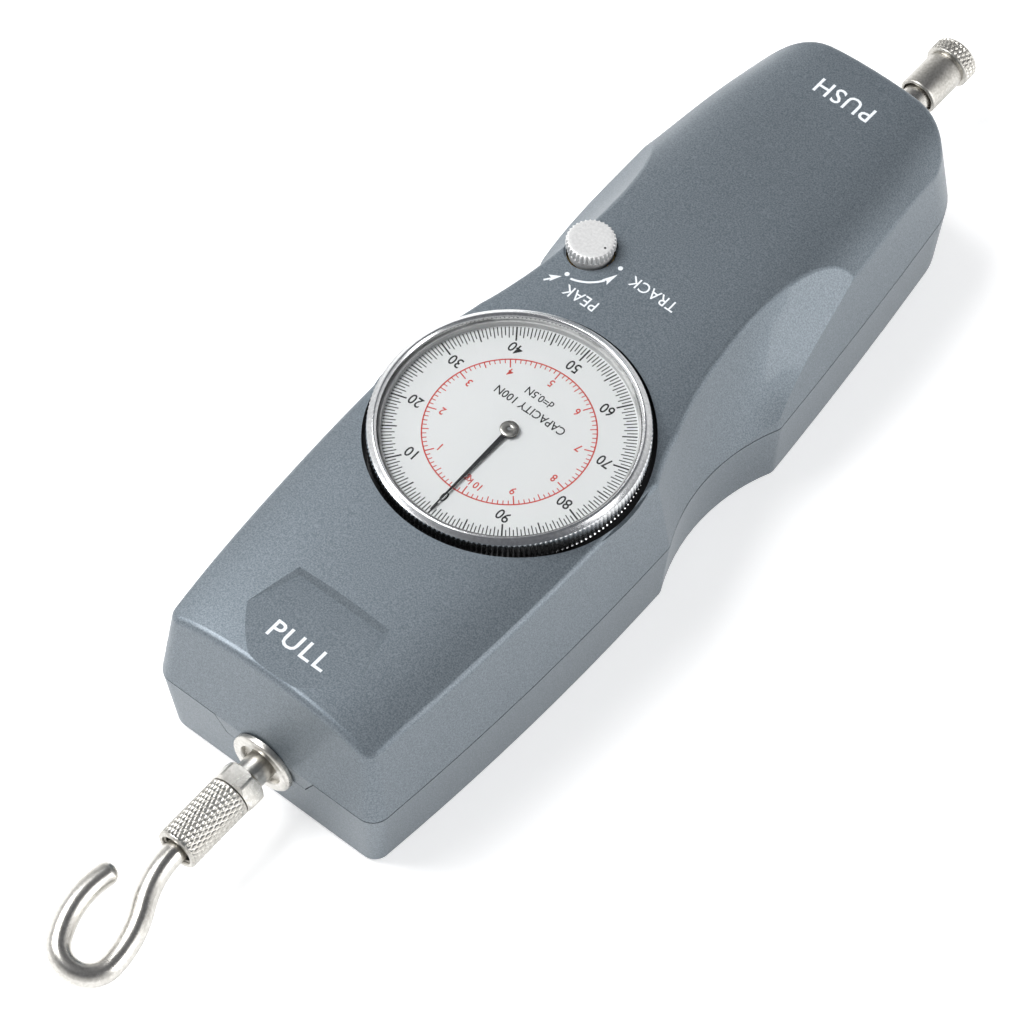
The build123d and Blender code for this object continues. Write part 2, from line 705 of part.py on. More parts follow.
hub_z1 = 41.15
pointer_z = 40.62
hub = cyl(0, 0, pointer_z + 0.22, hub_z1, 1.8) - cyl(0, 0, 30, hub_z1 - 0.15, arbor_r + 0.02)
hub = hub - cyl(0, 0, 30, 50, 0.45)
save(one(hub), "pointer_hub")
pointer_len = 23.0
blade_pts = [(-1.0, 4.6), (1.0, 4.6), (0.75, 0.0), (0.12, -pointer_len), (-0.12, -pointer_len), (-0.75, 0.0)]
blade = extrude(Plane((0, 0, pointer_z)) * make_face(Polyline(*blade_pts, close=True)), 0.22)
blade = blade + cyl(0, 0, pointer_z, pointer_z + 0.22, 1.8)
blade = blade - cyl(0, 0, 30, 50, arbor_r + 0.02)
save(one(blade), "pointer")

# ---------------------------------------------------------------------------
# bezel group: turns with the dial for zero setting
# ---------------------------------------------------------------------------
dial_seat = dial_top - dial_thick
clip_groove_r = skirt_r - 0.6
clip_out_r = skirt_r + 1.6
bezel_pts = [
    (skirt_in, skirt_bottom), (skirt_r, skirt_bottom), (skirt_r, 34.5), (clip_groove_r, 34.5),
    (clip_groove_r, 35.1), (skirt_r, 35.1), (skirt_r, bezel_bottom), (bezel_r - 0.4, bezel_bottom),
    (bezel_r, bezel_bottom + 0.4), (bezel_r, bezel_shoulder), (bezel_band_r, bezel_top),
    (lip_top_r, bezel_top + 0.1), (lip_r, lens_z + lens_thick), (dial_r + 0.15, lens_z + lens_thick),
    (dial_r + 0.15, dial_seat), (skirt_in, dial_seat),
]
bezel_face = Plane.XZ * make_face(Polyline(*bezel_pts, close=True))
save(one(revolve(bezel_face, Axis.Z)), "bezel")
clip = tube(0, 0, 34.55, 35.05, clip_out_r, clip_groove_r + 0.1)
clip = clip - block(-1.5, 1.5, skirt_in - 1, clip_out_r + 1, 30, 40)
save(one(clip), "bezel_clip")
save(one(tube(0, 0, dial_seat, dial_top, dial_r, 1.6)), "dial_plate")
save(one(tube(0, 0, dial_top, lens_z, dial_r, dial_r - 0.45)), "lens_spacer")
save(one(cyl(0, 0, lens_z, lens_z + lens_thick, dial_r)), "lens")

# ---------------------------------------------------------------------------
# peak-hold knob, cam, lever
# ---------------------------------------------------------------------------
cam_r = 3.8
flange_r = 4.7
flange_z0 = 33.8
flange_z1 = 34.5
bush_z0 = 34.6
bush_z1 = 36.4
cam_top = 36.9
cam_lid = 0.7
cam_hollow = 2.8
stem_r = 1.9
crank = 3.7
crank_pin_r = 0.75
bush = cyl(knob_x, knob_y, bush_z0, boss_z - 0.03, bush_flange_r)
bush = bush + cyl(knob_x, knob_y, bush_z0, bush_z1, knob_hole - 0.05)
bush = bush - cyl(knob_x, knob_y, 30, 40, cam_r + run_gap)
save(one(bush), "knob_bush")
pin_x = knob_x + crank * cos(radians(-45))
pin_y = knob_y + crank * sin(radians(-45))
cam = cyl(knob_x, knob_y, flange_z0, cam_top, cam_r) + cyl(knob_x, knob_y, flange_z0, flange_z1, flange_r)
cam = cam + cyl(pin_x, pin_y, 32.35, flange_z0 + 0.1, crank_pin_r)
cam = cam - cyl(knob_x, knob_y, 30, 40, stem_r + run_gap)
cam = cam - cyl(knob_x, knob_y, 30, cam_top - cam_lid, cam_hollow)
save(one(cam), "peak_cam")

knob_bottom = cam_top + press + 0.1
spring_top = 41.6
clip_z1 = cam_top - cam_lid - 0.05
clip_z0 = clip_z1 - 0.4
stem_end = clip_z0 - 0.35
knob_skirt_r = 4.35
knob_disc = 2.1
knob = cyl(knob_x, knob_y, knob_top - knob_disc, knob_top, knob_r)
knob = chamfer(knob.edges().filter_by(GeomType.CIRCLE).sort_by(Axis.Z)[-1], 0.35)
knob = knob + cyl(knob_x, knob_y, knob_bottom, knob_top - knob_disc + 0.1, knob_skirt_r)
knob = knob - cyl(knob_x, knob_y, knob_bottom - 1, spring_top, 3.4)
knob = knob + cyl(knob_x, knob_y, stem_end, spring_top + 0.2, stem_r)
knob = knob - tube(knob_x, knob_y, clip_z0 - 0.05, clip_z1 + 0.05, stem_r + 1, 1.5)
save(one(knob), "knob")
knob_clip = tube(knob_x, knob_y, clip_z0, clip_z1, 2.6, 1.55)
knob_clip = knob_clip - block(knob_x - 0.8, knob_x + 0.8, knob_y, knob_y + 5, 30, 40)
save(one(knob_clip), "knob_clip")
knob_place = Pos(knob_x, knob_y, cam_top)
knob_spring = coil(0, spring_top - cam_top, 2.65, 0.3, 4, knob_place)
save(one(knob_spring), "knob_spring")

# lever: fork round the cam pin, shoe beside the brake wheel
lever_z0 = brake_z0
lever_z1 = brake_z1
shoe_gap = 2.75
slot = crank_pin_r + 0.3
prong = slot + 1.3
lever_pts = [
    (pin_x - prong, pin_y + 1.2), (pin_x - slot, pin_y + 1.2), (pin_x - slot, pin_y - 2.2),
    (pin_x + slot, pin_y - 2.2), (pin_x + slot, pin_y + 1.2), (pin_x + prong, pin_y + 1.2),
    (pin_x + prong, pin_y - 4.0), (lever_x + 2.4, lever_y), (-brake_r - shoe_gap, 2.0),
    (-brake_r - shoe_gap, -2.0), (-brake_r - shoe_gap - 2.2, -2.0), (lever_x - 2.4, lever_y),
    (pin_x - prong, pin_y - 4.0),
]
lever = extrude(Plane((0, 0, lever_z0)) * make_face(Polyline(*lever_pts, close=True)), lever_z1 - lever_z0)
lever = lever - cyl(lever_x, lever_y, 30, 40, 1.25 + run_gap)
save(one(lever), "peak_lever")
pivot = cyl(lever_x, lever_y, upper_z + plate_thick, lever_z1 + 0.2, 1.25)
pivot = pivot + cyl(lever_x, lever_y, lever_z1 + 0.2, 34.3, 2.2)
pivot = pivot + cyl(lever_x, lever_y, upper_z, upper_z + plate_thick + 0.1, 0.85)
save(one(pivot), "lever_screw")

# ---------------------------------------------------------------------------
# attachments: hook at the pull end, flat tip at the push end
# ---------------------------------------------------------------------------
lock_y0 = -80.0
lock_y1 = -75.7
sleeve_y0 = -94.9
lock_flats = 8.7
lock_corner_r = 4.85
turned = rod(lock_y0, lock_y1, lock_corner_r)
turned = chamfer(turned.edges().filter_by(GeomType.CIRCLE), 0.55)
lock = hex_nut(lock_y0, lock_y1, lock_flats, shaft_r + run_gap) & turned
save(one(lock), "lock_nut")
hook_sleeve = rod(sleeve_y0, lock_y0 - 0.04, 4.4)
hook_sleeve = chamfer([e for e in hook_sleeve.edges().filter_by(GeomType.CIRCLE)], 0.4)
hook_sleeve = hook_sleeve - rod(shaft_front - 0.4, -70, shaft_r + run_gap)
hook_sleeve = hook_sleeve - rod(sleeve_y0 - 1, -80, wire_r + 0.04)
hook_sleeve = hook_sleeve - rod(sleeve_y0 - 1, sleeve_y0 + 0.8, 3.4)
save(one(hook_sleeve), "hook_sleeve")

# wire centre line of tangent arcs in the hook's own plane: across, along the shaft
hook_plane = Plane(
    origin=(0, 0, shaft_z),
    x_dir=(cos(radians(hook_tilt)), 0, -sin(radians(hook_tilt))),
    z_dir=(sin(radians(hook_tilt)), 0, cos(radians(hook_tilt))),
)
neck = (0, sleeve_y0 - 0.6)
shank = Line((0, shaft_front - 0.9), neck)
swing = TangentArc(neck, (3.0, sleeve_y0 - 12.1), tangent=(0, -1))
back = TangentArc(swing @ 1, (6.25, sleeve_y0 - 24.3), tangent=swing % 1)
bowl = TangentArc(back @ 1, (-3.73, sleeve_y0 - 27.0), tangent=back % 1)
tip = TangentArc(bowl @ 1, (-6.0, sleeve_y0 - 12.0), tangent=bowl % 1)
wire_path = Wire([hook_plane * line.edge() for line in (shank, swing, back, bowl, tip)])
section = Plane(origin=wire_path @ 0, z_dir=(0, -1, 0)) * Circle(wire_r)
hook = one(sweep(section, path=wire_path))
hook_end = wire_path @ 1
end_rim = min(hook.edges().filter_by(GeomType.CIRCLE), key=lambda e: (e.arc_center - hook_end).length)
hook = hook.fillet(wire_r * 0.8, [end_rim])
save(one(hook), "hook")

push_tip = 141.6
push_start = 127.8
head_start = 137.5
push = rod(push_start, head_start - 0.4, 4.15) + rod(head_start - 0.5, head_start + 0.1, 3.75)
head = rod(head_start, push_tip, 4.95)
rims = head.edges().filter_by(GeomType.CIRCLE).sort_by(Axis.Y)
head = chamfer(rims[-1], 0.7)
rims = head.edges().filter_by(GeomType.CIRCLE).sort_by(Axis.Y)
head = chamfer(rims[0], 0.25)
push = push + head
rims = push.edges().filter_by(GeomType.CIRCLE).sort_by(Axis.Y)
push = chamfer(rims[0], 0.4)
push = push - rod(120, shaft_rear + 0.3, shaft_r + 0.02)
push = push - rod(120, push_start + 1.6, shaft_r + 0.45)
save(one(push), "push_adapter")
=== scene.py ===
from math import atan2, cos, pi, radians, sin, sqrt, tau

import bmesh
import bpy
from mathutils import Matrix, Vector


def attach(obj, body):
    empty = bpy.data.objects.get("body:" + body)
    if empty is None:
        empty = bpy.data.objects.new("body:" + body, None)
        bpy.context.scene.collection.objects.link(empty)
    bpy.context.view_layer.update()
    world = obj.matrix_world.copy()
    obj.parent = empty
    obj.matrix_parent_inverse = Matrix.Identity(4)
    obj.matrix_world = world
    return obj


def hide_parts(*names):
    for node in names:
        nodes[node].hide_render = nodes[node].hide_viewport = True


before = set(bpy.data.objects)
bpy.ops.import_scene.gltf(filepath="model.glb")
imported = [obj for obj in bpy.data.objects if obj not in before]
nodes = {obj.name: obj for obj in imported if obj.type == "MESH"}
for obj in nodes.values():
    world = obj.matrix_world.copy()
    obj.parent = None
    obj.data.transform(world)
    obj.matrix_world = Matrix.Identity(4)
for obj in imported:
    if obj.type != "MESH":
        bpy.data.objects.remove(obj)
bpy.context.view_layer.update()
MM = 0.001

# shared places, in millimetres, as in the CAD source
SHAFT_Z = 13.5
DIAL_TOP = 40.15
RING_R = 16.2
POCKET_R = 27.32
KNOB = (-14.6, 41.9)

# ---------------------------------------------------------------------------
# materials
# ---------------------------------------------------------------------------
PAINT_DARK = (0.112, 0.138, 0.160)
PAINT_LIGHT = (0.220, 0.252, 0.280)
PAINT_MEAN = (0.158, 0.188, 0.212)
# painted shade: black standing in for the shaded gap inside the dial's pocket, under the bezel
POCKET_PAINTED_SHADE = (0.004, 0.004, 0.005)
LENS_IOR = 1.36
LENS_TINT = (0.985, 0.99, 0.988, 1.0)


class Nodes:
    """Small helper that wires one material's nodes."""

    def __init__(self, name):
        self.mat = bpy.data.materials.new(name)
        self.mat.use_nodes = True
        self.tree = self.mat.node_tree
        self.tree.nodes.clear()
        self.out = self.add("ShaderNodeOutputMaterial")
        self.coord = self.add("ShaderNodeTexCoord").outputs["Object"]

    def add(self, kind, **sets):
        node = self.tree.nodes.new(kind)
        for key, value in sets.items():
            setattr(node, key, value)
        return node

    def link(self, a, b):
        self.tree.links.new(a, b)

    def noise(self, scale, detail=2.0, rough=0.5, vector=None):
        node = self.add("ShaderNodeTexNoise")
        node.inputs["Scale"].default_value = scale
        node.inputs["Detail"].default_value = detail
        node.inputs["Roughness"].default_value = rough
        self.link(vector or self.coord, node.inputs["Vector"])
        return node.outputs["Fac"]

    def stretch(self, scale):
        node = self.add("ShaderNodeMapping")
        node.inputs["Scale"].default_value = scale
        self.link(self.coord, node.inputs["Vector"])
        return node.outputs["Vector"]

    def span(self, value, low, high, start=0.0, stop=1.0):
        node = self.add("ShaderNodeMapRange")
        node.inputs["From Min"].default_value = start
        node.inputs["From Max"].default_value = stop
        node.inputs["To Min"].default_value = low
        node.inputs["To Max"].default_value = high
        self.link(value, node.inputs["Value"])
        return node.outputs["Result"]

    def mix(self, fac, a, b):
        node = self.add("ShaderNodeMix", data_type="RGBA")
        self.link(fac, node.inputs["Factor"])
        for value, socket in ((a, node.inputs["A"]), (b, node.inputs["B"])):
            if isinstance(value, tuple):
                socket.default_value = (*value, 1.0)
            else:
                self.link(value, socket)
        return node.outputs["Result"]

    def bump(self, height, strength, distance):
        node = self.add("ShaderNodeBump")
        node.inputs["Strength"].default_value = strength
        node.inputs["Distance"].default_value = distance
        self.link(height, node.inputs["Height"])
        return node.outputs["Normal"]

    def shade(self, color, rough, metal, normal, coat=0.0):
        node = self.add("ShaderNodeBsdfPrincipled")
        for value, key in ((color, "Base Color"), (rough, "Roughness"), (normal, "Normal")):
            self.link(value, node.inputs[key])
        node.inputs["Metallic"].default_value = metal
        node.inputs["Coat Weight"].default_value = coat
        self.link(node.outputs["BSDF"], self.out.inputs["Surface"])
        return self.mat


def paint():
    """Speckled paint on the covers; inside the dial's pocket the colour turns black, as painted shade."""
    n = Nodes("silver_blue_paint")
    fleck = n.noise(3400.0, 3.0, 0.7)
    cloud = n.noise(420.0, 2.0, 0.5)
    base = n.mix(n.span(fleck, 0.0, 1.0, 0.38, 0.64), PAINT_DARK, PAINT_LIGHT)
    color = n.mix(n.span(cloud, 0.0, 0.25), base, PAINT_MEAN)
    flat = n.add("ShaderNodeVectorMath", operation="MULTIPLY")
    flat.inputs[1].default_value = (1.0, 1.0, 0.0)
    n.link(n.coord, flat.inputs[0])
    reach = n.add("ShaderNodeVectorMath", operation="LENGTH")
    n.link(flat.outputs["Vector"], reach.inputs[0])
    # painted shade: within the pocket's radius the colour goes black, in place of the shade in the gap under
    # the bezel
    pocket_shade_mask = n.span(reach.outputs["Value"], 1.0, 0.0, POCKET_R * MM, (POCKET_R + 0.03) * MM)
    color = n.mix(pocket_shade_mask, color, POCKET_PAINTED_SHADE)
    rough = n.span(fleck, 0.42, 0.54)
    normal = n.bump(fleck, 0.16, 0.00004)
    return n.shade(color, rough, 0.62, normal, 0.16)


def metal(name, low, high, rough, scale=900.0, stretch=(1.0, 1.0, 1.0), amount=1.0):
    n = Nodes(name)
    grain = n.noise(scale, 3.0, 0.6, n.stretch(stretch))
    smear = n.noise(90.0, 2.0, 0.5)
    color = n.mix(n.span(grain, 0.0, 1.0, 0.3, 0.7), low, high)
    spread = n.span(smear, max(0.02, rough - 0.06), rough + 0.08)
    normal = n.bump(grain, 0.05, 0.00002)
    return n.shade(color, spread, amount, normal)


def plain(name, low, high, rough, scale=1500.0, bump=0.05):
    n = Nodes(name)
    grain = n.noise(scale, 2.0, 0.5)
    color = n.mix(grain, low, high)
    return n.shade(color, n.span(grain, rough - 0.04, rough + 0.05), 0.0, n.bump(grain, bump, 0.00002))


def glass():
    n = Nodes("clear_lens")
    clear = n.add("ShaderNodeBsdfTransparent")
    clear.inputs["Color"].default_value = LENS_TINT
    gloss = n.add("ShaderNodeBsdfGlossy")
    smear = n.noise(60.0, 2.0, 0.5)
    n.link(n.span(smear, 0.01, 0.05), gloss.inputs["Roughness"])
    facing = n.add("ShaderNodeFresnel")
    facing.inputs["IOR"].default_value = LENS_IOR
    mixer = n.add("ShaderNodeMixShader")
    n.link(facing.outputs["Fac"], mixer.inputs["Fac"])
    n.link(clear.outputs["BSDF"], mixer.inputs[1])
    n.link(gloss.outputs["BSDF"], mixer.inputs[2])
    n.link(mixer.outputs["Shader"], n.out.inputs["Surface"])
    return n.mat


PAINT = paint()
NICKEL = metal("satin_nickel", (0.50, 0.485, 0.45), (0.66, 0.645, 0.61), 0.26, 1400.0)
KNURL_STEEL = metal("knurled_nickel", (0.40, 0.385, 0.35), (0.62, 0.605, 0.57), 0.34, 2000.0)
STEEL = metal("machined_steel", (0.42, 0.43, 0.44), (0.56, 0.57, 0.58), 0.34, 700.0, (1.0, 0.12, 1.0))
PLATE = metal("plated_sheet", (0.46, 0.47, 0.47), (0.60, 0.61, 0.61), 0.38, 500.0)
BRASS = metal("turned_brass", (0.60, 0.43, 0.18), (0.78, 0.60, 0.30), 0.30, 900.0)
BEZEL = metal("bright_aluminium", (0.62, 0.63, 0.64), (0.78, 0.79, 0.80), 0.22, 1600.0)
KNOB_METAL = metal("turned_aluminium", (0.66, 0.66, 0.655), (0.80, 0.80, 0.795), 0.34, 1800.0, amount=0.35)
WHITE = plain("dial_enamel", (0.85, 0.855, 0.86), (0.88, 0.885, 0.89), 0.5)
BLACK_INK = plain("black_ink", (0.012, 0.012, 0.013), (0.03, 0.03, 0.03), 0.55)
RED_INK = plain("red_ink", (0.62, 0.055, 0.04), (0.70, 0.08, 0.06), 0.5)
WHITE_INK = plain("white_legend", (0.72, 0.76, 0.80), (0.80, 0.83, 0.86), 0.5)
BLACK_METAL = plain("black_pointer", (0.008, 0.008, 0.009), (0.02, 0.02, 0.022), 0.38)
SPACER = plain("pale_spacer", (0.62, 0.62, 0.62), (0.70, 0.70, 0.70), 0.45)
RUBBER = plain("black_rubber", (0.012, 0.012, 0.012), (0.03, 0.03, 0.03), 0.7, 2500.0, 0.2)
GLASS = glass()

# ---------------------------------------------------------------------------
# small modelling helpers
# ---------------------------------------------------------------------------


def finish_piece(bm, name, material, body, swap=(), smooth=35.0):
    """Turn a bmesh in millimetres into a finished piece on its body."""
    bmesh.ops.recalc_face_normals(bm, faces=bm.faces)
    bmesh.ops.scale(bm, vec=(MM, MM, MM), verts=bm.verts)
    for edge in bm.edges:
        if len(edge.link_faces) == 2:
            edge.smooth = edge.calc_face_angle(0.0) < radians(smooth)
    for face in bm.faces:
        face.smooth = True
    mesh = bpy.data.meshes.new(name)
    bm.to_mesh(mesh)
    bm.free()
    obj = bpy.data.objects.new(name, mesh)
    bpy.context.scene.collection.objects.link(obj)
    mesh.materials.append(material)
    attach(obj, body)
    if swap:
        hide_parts(*swap)


def lathe(profile, steps, closed=True):
    """Full turn of an (r, z) profile round Z, in millimetres."""
    bm = bmesh.new()
    points = [bm.verts.new((r, 0.0, z)) for r, z in profile]
    edges = [bm.edges.new((a, b)) for a, b in zip(points, points[1:])]
    if closed:
        edges.append(bm.edges.new((points[-1], points[0])))
    bmesh.ops.spin(
        bm, geom=points + edges, cent=(0, 0, 0), axis=(0, 0, 1), angle=tau, steps=steps, use_merge=True
    )
    bmesh.ops.remove_doubles(bm, verts=bm.verts, dist=0.0005)
    return bm


def lay_along_shaft(bm):
    """Turn a lathe so its Z runs along +Y at the shaft's height."""
    turn = Matrix.Translation((0, 0, SHAFT_Z)) @ Matrix.Rotation(-pi / 2, 4, "X")
    bmesh.ops.transform(bm, matrix=turn, verts=bm.verts)


def shift(bm, x, y, z=0.0):
    bmesh.ops.translate(bm, vec=(x, y, z), verts=bm.verts)


def steps_between(a, b, count):
    return [a + (b - a) * k / count for k in range(count + 1)]


def wave(t):
    """Rounded V between 0 and 1, one tooth per unit of t."""
    t = abs((t % 1.0) * 2.0 - 1.0)
    return t * t * (3.0 - 2.0 * t)


def diamond(bm, z0, z1, teeth, pitch, depth, fade=0.35):
    """Press crossed knurls into the vertices between z0 and z1."""
    for v in bm.verts:
        r = sqrt(v.co.x ** 2 + v.co.y ** 2)
        if z0 < v.co.z < z1 and r > 3.8:
            a = atan2(v.co.y, v.co.x) / tau * teeth
            s = v.co.z / pitch
            cut = 1.0 - min(wave(a + s), wave(a - s))
            edge = min(1.0, (v.co.z - z0) / fade, (z1 - v.co.z) / fade)
            k = (r - depth * cut * edge) / r
            v.co.x *= k
            v.co.y *= k


def text_mesh(words, size, place, turn, thick=0.03, squeeze=1.0, bold=0.0, gap=1.0):
    """Words as a closed thin mesh in millimetres, centred on place."""
    curve = bpy.data.curves.new("words", "FONT")
    curve.body = words
    curve.size = size
    curve.align_x = "CENTER"
    curve.align_y = "CENTER"
    curve.extrude = thick
    curve.offset = bold
    curve.space_character = gap
    curve.resolution_u = 3
    holder = bpy.data.objects.new("words", curve)
    bpy.context.scene.collection.objects.link(holder)
    bpy.context.view_layer.update()
    mesh = bpy.data.meshes.new_from_object(holder)
    bm = bmesh.new()
    bm.from_mesh(mesh)
    bpy.data.objects.remove(holder)
    bpy.data.curves.remove(curve)
    bpy.data.meshes.remove(mesh)
    if bm.verts:
        xs = [v.co.x for v in bm.verts]
        ys = [v.co.y for v in bm.verts]
        shift(bm, -(min(xs) + max(xs)) / 2, -(min(ys) + max(ys)) / 2)
    bmesh.ops.scale(bm, vec=(squeeze, 1.0, 1.0), verts=bm.verts)
    move = Matrix.Translation(place) @ Matrix.Rotation(turn, 4, "Z")
    bmesh.ops.transform(bm, matrix=move, verts=bm.verts)
    return bm


def add_to(target, part):
    """Join part into target and free it."""
    mesh = bpy.data.meshes.new("part")
    part.to_mesh(mesh)
    part.free()
    target.from_mesh(mesh)
    bpy.data.meshes.remove(mesh)


def slab(outline, z0, z1):
    """Flat closed plate from an outline."""
    bm = bmesh.new()
    face = bm.faces.new([bm.verts.new((x, y, z0)) for x, y in outline])
    grown = bmesh.ops.extrude_face_region(bm, geom=[face])
    up = [g for g in grown["geom"] if isinstance(g, bmesh.types.BMVert)]
    bmesh.ops.translate(bm, vec=(0, 0, z1 - z0), verts=up)
    return bm


# ---------------------------------------------------------------------------
# CAD nodes that keep their own shape
# ---------------------------------------------------------------------------

dress = {
    PAINT: ["top_cover", "bottom_cover"],
    PLATE: ["chassis", "lower_plate", "upper_plate", "bush_nuts", "peak_lever", "bezel_clip"],
    STEEL: [
        "chassis_pillars", "chassis_screws", "cover_screws", "movement_screws", "movement_pillars",
        "main_spring", "rack_carrier", "clamp_screw", "collar_screw", "rack_screws", "spring_collar",
        "stop_collar", "pointer_hub", "lever_screw", "knob_spring", "knob_clip", "idler_arbor",
        "pointer_arbor", "hairspring_stud",
    ],
    NICKEL: ["measuring_shaft", "lock_nut", "pull_bush", "push_bush"],
    BRASS: [
        "arbor_bushes", "idler_wheel", "idler_pinion", "pointer_pinion", "rack", "brake_wheel",
        "hairspring", "hairspring_collet", "mounting_inserts", "knob_bush", "peak_cam",
    ],
    WHITE: ["dial_plate"],
    BLACK_METAL: ["pointer"],
    SPACER: ["lens_spacer"],
    GLASS: ["lens"],
    RUBBER: ["stop_buffer"],
    BEZEL: ["bezel"],
    KNOB_METAL: ["knob"],
    KNURL_STEEL: ["hook", "hook_sleeve", "push_adapter"],
}
for material, names in dress.items():
    for name in names:
        if name in nodes:
            mesh = nodes[name].data
            mesh.materials.clear()
            mesh.materials.append(material)

cover = nodes["top_cover"]


def surface_z(x, y):
    """Height of the upper cover at x, y in millimetres."""
    hit, place, _, _ = cover.ray_cast(Vector((x * MM, y * MM, 0.08)), Vector((0, 0, -1)))
    return place.z / MM if hit else 40.0


def lay_on_cover(bm, lift=0.02):
    for v in bm.verts:
        v.co.z = surface_z(v.co.x, v.co.y) + lift + v.co.z


# ---------------------------------------------------------------------------
# bezel with straight knurl
# ---------------------------------------------------------------------------
KNURL_TEETH = 170
profile = [
    (21.6, 33.9), (23.0, 33.9), (23.0, 34.5), (22.4, 34.5), (22.4, 35.1), (23.0, 35.1), (23.0, 37.5),
    (26.05, 37.5), (26.2, 37.55), (26.34, 37.68),
]
profile += [(26.42, z) for z in steps_between(37.8, 41.75, 6)]
profile += [
    (26.38, 41.86), (26.26, 42.0), (26.1, 42.1), (25.8, 42.3), (25.5, 42.52), (25.3, 42.68), (25.1, 42.76),
    (24.95, 42.76), (24.85, 42.7), (24.62, 42.5), (24.45, 42.36), (24.42, 42.3), (24.45, 42.1),
    (24.45, 39.65), (21.6, 39.65),
]
bm = lathe(profile, KNURL_TEETH * 4)
for v in bm.verts:
    r = sqrt(v.co.x ** 2 + v.co.y ** 2)
    if r > 26.3 and v.co.z < 41.9:
        cut = 1.0 - wave(atan2(v.co.y, v.co.x) / tau * KNURL_TEETH)
        k = (r - 0.38 * cut) / r
        v.co.x *= k
        v.co.y *= k
finish_piece(bm, "knurled_bezel", BEZEL, "dial", ["bezel"], 50.0)

# ---------------------------------------------------------------------------
# dial print: scale in newtons outside, kilogram-force inside
# ---------------------------------------------------------------------------
INK = 0.025


def tick(turns, r0, r1, width):
    """Radial mark; turns run clockwise from the zero at -Y."""
    a = -pi / 2 - tau * turns
    out = Vector((cos(a), sin(a)))
    side = Vector((-out.y, out.x)) * width / 2
    pts = [out * r0 - side, out * r1 - side, out * r1 + side, out * r0 + side]
    return slab([(p.x, p.y) for p in pts], DIAL_TOP, DIAL_TOP + INK)


def dial_words(words, size, turns, radius, **extra):
    a = -pi / 2 - tau * turns
    place = (cos(a) * radius, sin(a) * radius, DIAL_TOP + INK / 2)
    return text_mesh(words, size, place, pi, INK / 2, **extra)


black = bmesh.new()
for k in range(200):
    if k % 20 == 0:
        start, width = 1.262, 0.32
    elif k % 10 == 0:
        start, width = 1.283, 0.27
    elif k % 2 == 0:
        start, width = 1.305, 0.2
    else:
        start, width = 1.338, 0.2
    add_to(black, tick(k / 200, RING_R * start, RING_R * 1.458, width))
for k in range(10):
    add_to(black, dial_words(str(k * 10), 3.2, k / 10, RING_R * 1.152, squeeze=0.88, bold=0.03))
finish_piece(black, "newton_scale", BLACK_INK, "dial")

red = bmesh.new()
RING_IN = RING_R - 0.13
RING_OUT = RING_R + 0.13
ink_top = DIAL_TOP + INK
ring = lathe([(RING_IN, DIAL_TOP), (RING_OUT, DIAL_TOP), (RING_OUT, ink_top), (RING_IN, ink_top)], 180)
add_to(red, ring)
KGF_TURN = 35.3 / 360      # share of a turn for one kilogram-force
for k in range(1, 103):
    if k % 10 == 0:
        inner, width = 0.885, 0.24
    elif k % 5 == 0:
        inner, width = 0.918, 0.2
    else:
        inner, width = 0.945, 0.18
    add_to(red, tick(k / 10 * KGF_TURN, RING_R * inner, RING_R, width))
for k in range(1, 10):
    add_to(red, dial_words(str(k), 2.3, k * KGF_TURN, RING_R * 0.815, squeeze=0.88, bold=0.03))
add_to(red, dial_words("10 kgf", 2.1, 9.98 * KGF_TURN, RING_R * 0.80, squeeze=0.9, bold=0.03))
finish_piece(red, "kilogram_force_scale", RED_INK, "dial")

notes = bmesh.new()
add_to(notes, text_mesh("CAPACITY 100N", 2.5, (0.0, 6.0, DIAL_TOP + INK / 2), pi, INK / 2, 0.9, 0.02))
add_to(notes, text_mesh("d=0.5N", 2.3, (-0.4, 9.3, DIAL_TOP + INK / 2), pi, INK / 2, 0.9, 0.02))
finish_piece(notes, "dial_notes", BLACK_INK, "dial")

# ---------------------------------------------------------------------------
# pointer hub with its drilled centre
# ---------------------------------------------------------------------------
ARBOR_R = 0.42
HUB_Z = 40.84
hub = lathe([
    (ARBOR_R, HUB_Z), (1.8, HUB_Z), (1.8, 41.02), (1.74, 41.1), (1.62, 41.15), (0.62, 41.15),
    (0.5, 41.1), (ARBOR_R, 41.0),
], 64)
finish_piece(hub, "turned_hub", NICKEL, "centre", ["pointer_hub"])

needle_z = (40.62, 40.82)
needle = slab([(-0.48, -1.2), (-0.09, -22.6), (0.09, -22.6), (0.48, -1.2)], *needle_z)
boss = lathe([(ARBOR_R, 40.3), (1.55, 40.3), (1.55, HUB_Z), (ARBOR_R, HUB_Z)], 64)
add_to(needle, boss)
finish_piece(needle, "slim_needle", BLACK_METAL, "centre", ["pointer"])

# ---------------------------------------------------------------------------
# peak-hold knob
# ---------------------------------------------------------------------------
SERRATIONS = 33
profile = [(0.0, 41.6), (3.4, 41.6), (3.4, 39.0), (4.35, 39.0), (4.35, 41.2), (4.62, 41.2), (4.8, 41.32)]
profile += [(4.85, z) for z in steps_between(41.45, 42.85, 5)]
profile += [(4.8, 42.98), (4.66, 43.14), (4.45, 43.24), (4.15, 43.29), (3.6, 43.3), (1.8, 43.3), (0.0, 43.3)]
knob = lathe(profile, SERRATIONS * 12, False)
for v in knob.verts:
    r = sqrt(v.co.x ** 2 + v.co.y ** 2)
    if r > 4.4 and 41.3 < v.co.z:
        cut = 1.0 - wave(atan2(v.co.y, v.co.x) / tau * SERRATIONS)
        drop = 0.5 * cut * min(1.0, (r - 4.4) / 0.3)
        k = (r - drop) / r
        v.co.x *= k
        v.co.y *= k
STEM_R = 1.9
STEM_GROOVE_R = 1.5
